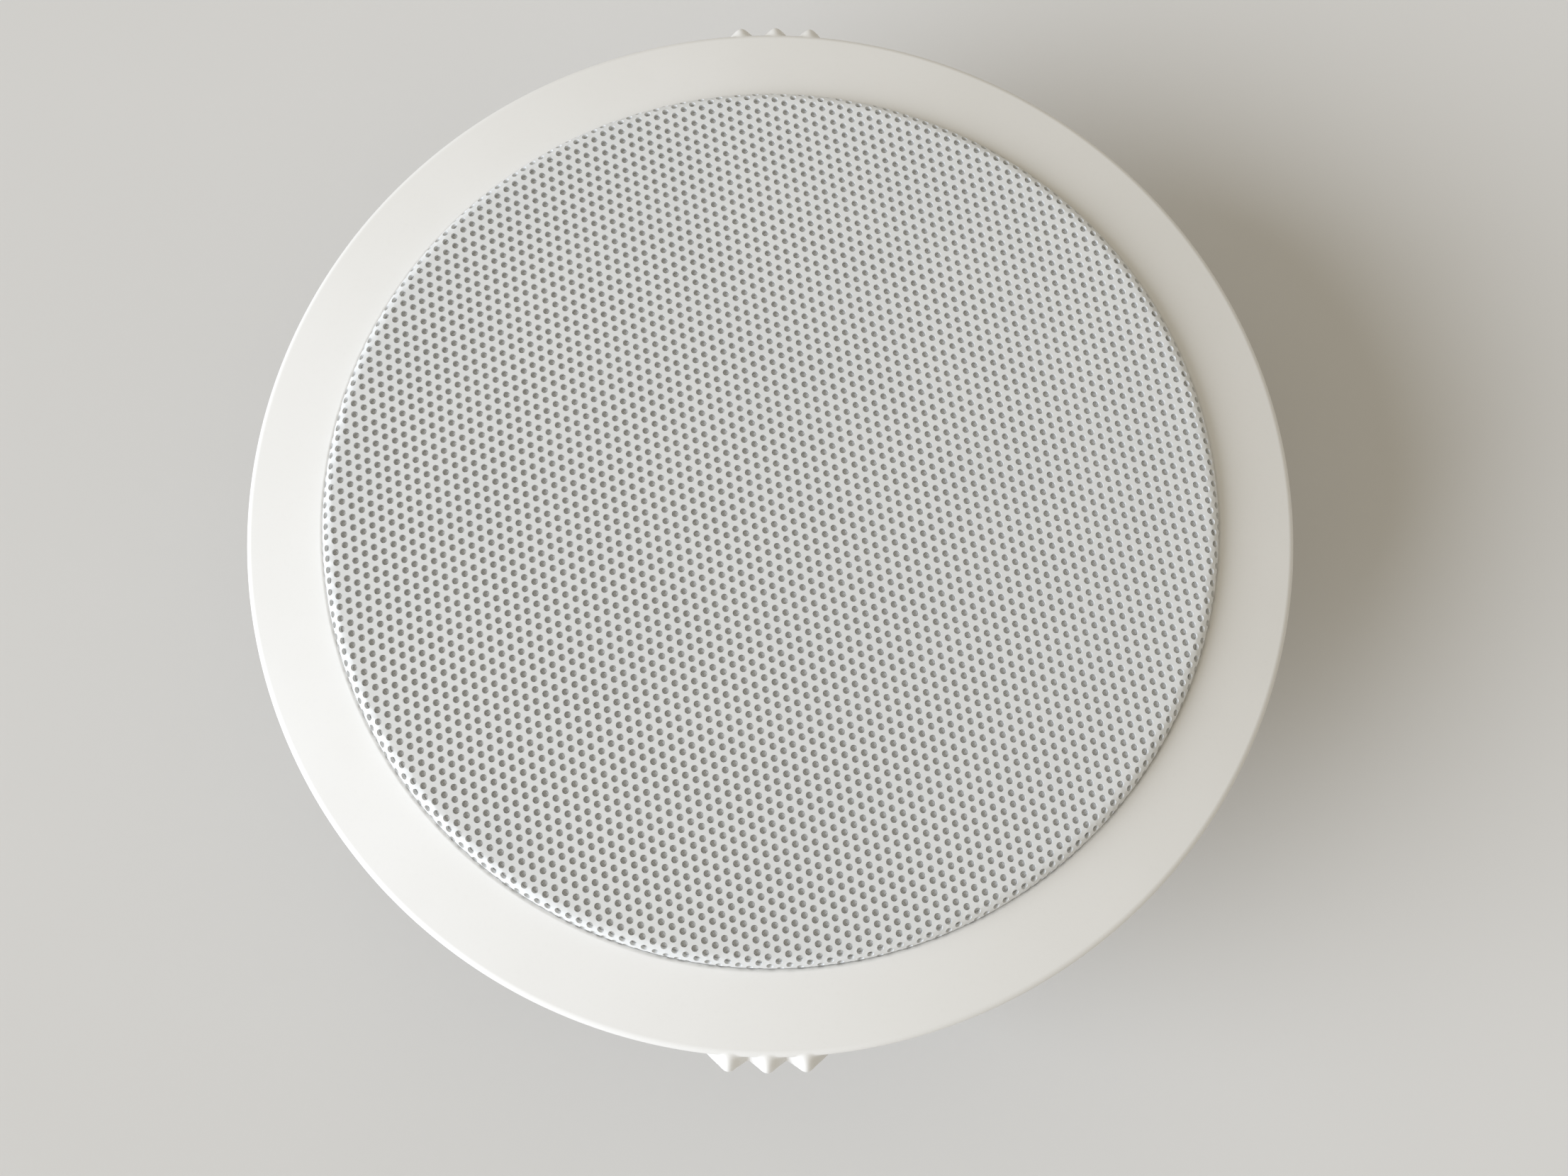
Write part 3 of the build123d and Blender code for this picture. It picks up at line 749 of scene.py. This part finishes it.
def hole_centres(field_r):
    """Staggered rows of holes in the flat sheet, with every second row set a little closer."""
    row_height = hole_pitch * math.sin(math.pi / 3)
    reach = math.ceil(field_r / row_height) + 1
    row, i = np.meshgrid(np.arange(-reach, reach + 1), np.arange(-2 * reach, 2 * reach + 1), indexing="ij")
    x = (i + row % 2 / 2) * hole_pitch
    y = row * row_height + hole_row_pairing * (2 * (row % 2) - 1)
    turned = np.stack(
        [
            x * math.cos(hole_row_angle) - y * math.sin(hole_row_angle),
            x * math.sin(hole_row_angle) + y * math.cos(hole_row_angle),
        ],
        axis=-1,
    ).reshape(-1, 2)
    return turned[np.hypot(*turned.T) < field_r]


def perforated_sheet():
    """The flat sheet's points, triangles round the holes, edges of holes and foot, and each point's hole."""
    foot = sheet_reach()
    centres = hole_centres(foot - grille_plain_foot)
    # Corners of a hole with the same area as a round one
    corner_turn = math.tau / hole_sides
    corner_r = hole_width / 2 * math.sqrt(corner_turn / math.sin(corner_turn))
    corners = hole_row_angle + (np.arange(hole_sides) + 0.5) * corner_turn
    hole = corner_r * np.stack([np.cos(corners), np.sin(corners)], axis=-1)
    holes = (centres[:, None, :] + hole[None]).reshape(-1, 2)
    rim = even_angles(foot_steps)
    flat = np.concatenate([holes, foot * np.stack([np.cos(rim), np.sin(rim)], axis=-1)])
    owner = np.concatenate([np.repeat(np.arange(len(centres)), hole_sides), np.full(foot_steps, -1)])
    rings = [np.arange(len(holes)).reshape(-1, hole_sides), len(holes) + np.arange(foot_steps)[None]]
    edge_rings = [np.stack([ring, np.roll(ring, -1, axis=1)], axis=-1) for ring in rings]
    edges = np.concatenate([ring.reshape(-1, 2) for ring in edge_rings])
    # Kind 1 is the triangles inside the foot's edge
    found = delaunay_2d_cdt([Vector(p) for p in flat], edges.tolist(), [], 1, weld_distance, True)
    back = np.array([source[0] for source in found[3]])
    triangles = back[np.array(found[2])]
    inside = (owner[triangles] == owner[triangles[:, :1]]).all(axis=1) & (owner[triangles[:, 0]] >= 0)
    return flat, triangles[~inside], edges, owner


def grille_pieces():
    """Points, faces and hole numbers of the pan's middle and of the ring round it."""
    flat, triangles, edges, owner = perforated_sheet()
    reach = np.hypot(*flat.T)
    angle = np.arctan2(flat[:, 1], flat[:, 0])
    r, z, lean, rise = pan_place(reach)
    sides = []
    for inset in (0, grille_sheet):
        sides.append(polar_points(r - lean * inset, angle, z - rise * inset))
    points = np.concatenate(sides)
    count = len(flat)
    walls = np.stack([edges[:, 0], edges[:, 1], edges[:, 1] + count, edges[:, 0] + count], axis=-1)
    foot = owner[edges[:, 0]] < 0
    walls[foot] = walls[foot][:, ::-1]
    # The back's holes have numbers of their own, so that no edge through the sheet counts as a rim
    sheet_owner = np.concatenate([owner, owner + 2 * count])
    hole_reach = np.zeros(count)
    hole_reach[owner >= 0] = reach[owner >= 0].reshape(-1, hole_sides).mean(axis=1).repeat(hole_sides)
    hole_reach[owner < 0] = reach[owner < 0]
    face_in = reach[triangles].mean(axis=1) < grille_middle_r
    wall_in = hole_reach[edges[:, 0]] < grille_middle_r
    for caps, rims in ((face_in, wall_in), (~face_in, ~wall_in)):
        front = triangles[caps]
        back = front[:, ::-1] + count
        faces = [*front.tolist(), *back.tolist(), *walls[rims].tolist()]
        used, compact = np.unique(np.concatenate([np.array(face) for face in faces]), return_inverse=True)
        starts = np.cumsum([0] + [len(face) for face in faces])
        yield points[used], [compact[a:b].tolist() for a, b in zip(starts, starts[1:])], sheet_owner[used]


def mark_hole_edges(mesh, owner):
    """Keep the edges of the holes and of the foot crisp in the smooth shading."""
    ends = np.empty(len(mesh.edges) * 2, int)
    mesh.edges.foreach_get("vertices", ends)
    first, second = ends.reshape(-1, 2).T
    sharp = mesh.attributes.new("sharp_edge", "BOOLEAN", "EDGE")
    sharp.data.foreach_set("value", owner[first] == owner[second])


for name, (points, faces, owner) in zip(("grille_middle", "grille_ring"), grille_pieces()):
    grille = new_piece(name, points, faces, finishes["white_steel"])
    mark_hole_edges(grille.data, owner)
    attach(grille, "front")
    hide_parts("grille")


# Rubber surround, which rolls between the basket's flange and the moving cone

def surround_outline():
    out_r = surround_high.x
    cone_r = cone_high.x
    flange_z = surround_high.z - roll_radius - surround_sheet
    roll_r = cone_r + roll_radius
    turns = np.linspace(0, math.pi, roll_steps)
    top_z = flange_z + surround_sheet
    outer = [(roll_r + roll_radius * math.cos(a), top_z + roll_radius * math.sin(a)) for a in turns]
    inner_radius = roll_radius - surround_sheet
    inner = [(roll_r + inner_radius * math.cos(a), top_z + inner_radius * math.sin(a)) for a in turns[::-1]]
    lip_z = surround_low.z
    return [
        (out_r, flange_z),
        (out_r, top_z),
        *outer,
        (cone_r, lip_z + surround_sheet),
        (cone_r - surround_lip, lip_z + surround_sheet),
        (cone_r - surround_lip, lip_z),
        (cone_r + surround_sheet, lip_z),
        *inner,
        (roll_r + inner_radius, flange_z),
    ]


surround_line = surround_outline()
surround = new_piece(
    "rolled_surround",
    turned_points(surround_line, even_angles(lathe_steps)),
    grid_faces(lathe_steps, len(surround_line)),
    finishes["surround_rubber"],
)
keep_flats_flat(surround)
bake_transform(surround)
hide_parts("surround")


# Spider, in sectors that each run from the coil former out to the basket's ledge

def spider_outline():
    ledge_z = spider_low.z
    height = spider_high.z - spider_low.z - spider_sheet
    first_r = spider_neck_r + spider_lip
    share = np.linspace(0, 1, spider_waves * wave_steps + 1)
    wave_r = first_r + (spider_ledge_r - first_r) * share
    wave_z = ledge_z + height / 2 * (1 - np.cos(share * spider_waves * math.tau))
    low = [(spider_neck_r, ledge_z), *zip(wave_r, wave_z), (spider_high.x, ledge_z)]
    return low + [(r, z + spider_sheet) for r, z in reversed(low)]


spider_line = spider_outline()
half_sector = math.pi / spider_sectors
for i in range(spider_sectors):
    middle = i * 2 * half_sector
    angles = np.linspace(middle - half_sector, middle + half_sector, sector_steps)
    points = turned_points(spider_line, angles)
    faces = grid_faces(sector_steps, len(spider_line), closed=False)
    spider = new_piece(f"spider_sector_{i + 1}", points, faces, finishes["spider_cloth"])
    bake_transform(spider)
    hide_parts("spider")


# Tinsel leads, slack between the terminal strip and the moving cone

def twisted_lead(y):
    """A rope of three strands along a sagging line from the strip to the cone."""
    strip_z, sag_z, cone_z = lead_zs
    t = np.linspace(0, 1, lead_rows)
    bend = 2 * strip_z - 4 * sag_z + 2 * cone_z
    x = lead_high.x + (lead_low.x + lead_r - lead_high.x) * t
    z = strip_z + (cone_z - strip_z - bend) * t + bend * t**2
    lean = np.arctan2(np.gradient(z), np.gradient(x))
    angles = even_angles(lead_columns)[:, None]
    length = np.cumsum(np.hypot(np.gradient(x), np.gradient(z)))
    turn = angles - math.tau * length / lead_twist_pitch
    r = lead_r * (1 - lead_groove * (1 - np.abs(np.cos(lead_strands / 2 * turn))))
    across, up = r * np.cos(angles), r * np.sin(angles)
    points = np.stack([x - up * np.sin(lean), y + across, z + up * np.cos(lean)], axis=-1)
    return points, tube_faces(lead_columns, lead_rows)


for side, y in zip(("left", "right"), lead_ys):
    lead = new_piece(f"twisted_lead_{side}", *twisted_lead(y), finishes["braided_lead"])
    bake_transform(lead)
    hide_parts("tinsel_leads")


# Clamp screws: the solid's own head on a threaded shank

def screw_head(node, head_z):
    """The faces of a screw's solid from the underside of its head up."""
    points = np.empty(len(node.data.vertices) * 3)
    node.data.vertices.foreach_get("co", points)
    points = points.reshape(-1, 3) / MM
    faces = [list(face.vertices) for face in node.data.polygons]
    return points, [face for face in faces if points[face][:, 2].min() > head_z - face_tolerance]


def threaded_shank(axis, low_z, high_z):
    """A closed shank with a single thread that runs out at both ends."""
    angles = even_angles(thread_columns)
    z = np.linspace(low_z, high_z, round((high_z - low_z) / thread_pitch * thread_rows))
    turn = (z[None, :] / thread_pitch - angles[:, None] / math.tau) % 1
    groove = np.clip(np.abs(turn - 0.5) * thread_flank - thread_crest, 0, 1)
    run_out = np.clip((z - low_z) / thread_pitch, 0, 1) * np.clip((high_z - z) / thread_pitch, 0, 1)
    r = screw_r - thread_depth * groove * run_out
    points = polar_points(r, angles[:, None], z) + (axis.x, axis.y, 0)
    return points, tube_faces(*r.shape)


for letter in "abc":
    low, high = node_box(f"clamp_screw_{letter}")
    axis = (low + high) / 2
    head = screw_head(nodes[f"clamp_screw_{letter}"], screw_head_z)
    shank = threaded_shank(axis, low.z, screw_head_z)
    screw = new_piece(f"threaded_screw_{letter}", *joined(head, shank), finishes["screw_steel"])
    keep_flats_flat(screw)
    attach(screw, f"screw_{letter}")
    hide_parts(f"clamp_screw_{letter}")


# Finishes of the solids that stay as they are
node_finish = {
    "grille_cloth": "lining_cloth",
    "mounting_frame": "frame_moulding",
    "driver_basket": "black_steel",
    "driver_gasket": "gasket_fibre",
    "cone": "cone_paper",
    "dust_cap": "dust_cap_paper",
    "coil_former": "former_foil",
    "coil_winding": "coil_wire",
    "top_plate": "plated_steel",
    "magnet": "ferrite",
    "yoke": "plated_steel",
    "terminal_strip": "terminal_board",
    "terminal_tabs": "tinned_brass",
    "terminal_rivet": "plated_steel",
    "driver_screws": "screw_steel",
}
for letter in "abc":
    node_finish[f"clamp_dog_{letter}"] = "clamp_nylon"
    node_finish[f"clamp_clip_{letter}"] = "screw_steel"

for name, finish in node_finish.items():
    nodes[name].data.materials.clear()
    nodes[name].data.materials.append(finishes[finish])


# Floor, light and camera
floor_width = 12000.0
floor_shade = (0.73, 0.72, 0.705)
floor_other_shade = (0.71, 0.7, 0.685)
floor_drift = 300.0
window_direction = (-0.858, -0.312, 0.407)
window_strength = 4.1
window_width_degrees = 50.0
window_colour = (0.83, 0.89, 0.985)
room_colour = (1.0, 0.92, 0.76)
room_strength = 0.45
backdrop_colour = (0.655, 0.648, 0.62)
camera_sensor = 36.0
camera_lens = 32.22
camera_clip_metres = (0.01, 50.0)
camera_place = (0.4, -74.5, 320.1)
camera_tip_degrees = 10.27
camera_lean_degrees = -0.43
camera_turn_degrees = 0.42


def pale_floor():
    half = floor_width / 2
    corners = [(-half, -half), (half, -half), (half, half), (-half, half)]
    material, tree, shader = new_finish("pale floor", roughness=0.8)
    add_colour(tree, shader, floor_shade, floor_other_shade, floor_drift)
    shader.inputs["Specular IOR Level"].default_value = 0.0
    floor = new_piece("floor", [(x, y, yoke_low.z) for x, y in corners], [[0, 1, 2, 3]], material)


def window_light():
    """Soft light from one side, even over the object and the floor."""
    light = bpy.data.lights.new("window light", "SUN")
    light.energy = window_strength
    light.angle = math.radians(window_width_degrees)
    light.color = window_colour
    holder = bpy.data.objects.new("window light", light)
    holder.rotation_euler = (-Vector(window_direction)).to_track_quat("-Z", "Y").to_euler()
    bpy.context.scene.collection.objects.link(holder)


def studio_world():
    """Warm room light from all round, with a plain pale backdrop where it is looked at."""
    world = bpy.data.worlds.new("studio")
    world.use_nodes = True
    tree = world.node_tree
    room = tree.nodes["Background"]
    room.inputs["Color"].default_value = (*room_colour, 1.0)
    room.inputs["Strength"].default_value = room_strength
    backdrop = tree.nodes.new("ShaderNodeBackground")
    backdrop.inputs["Color"].default_value = (*backdrop_colour, 1.0)
    rays = tree.nodes.new("ShaderNodeLightPath")
    seen = math_node(tree, "MAXIMUM", rays.outputs["Is Camera Ray"], rays.outputs["Is Glossy Ray"])
    seen = math_node(tree, "MAXIMUM", seen, rays.outputs["Is Transmission Ray"])
    mix = tree.nodes.new("ShaderNodeMixShader")
    tree.links.new(seen, mix.inputs["Fac"])
    tree.links.new(room.outputs[0], mix.inputs[1])
    tree.links.new(backdrop.outputs[0], mix.inputs[2])
    tree.links.new(mix.outputs[0], tree.nodes["World Output"].inputs["Surface"])
    bpy.context.scene.world = world


def photo_camera():
    """The photograph's view: a wide lens close above the face, tipped a little towards the top ribs."""
    camera = bpy.data.cameras.new("photo camera")
    camera.sensor_width = camera_sensor
    camera.lens = camera_lens
    camera.clip_start, camera.clip_end = camera_clip_metres
    holder = bpy.data.objects.new("photo camera", camera)
    tip = Matrix.Rotation(math.radians(camera_tip_degrees), 4, "X")
    lean = Matrix.Rotation(math.radians(camera_lean_degrees), 4, "Y")
    turn = Matrix.Rotation(math.radians(camera_turn_degrees), 4, "Z")
    place = Matrix.Translation(Vector(camera_place) * MM)
    holder.matrix_world = turn @ place @ tip @ lean
    bpy.context.scene.collection.objects.link(holder)
    bpy.context.scene.camera = holder


pale_floor()
studio_world()
window_light()
photo_camera()
bpy.context.scene.view_settings.view_transform = "Standard"
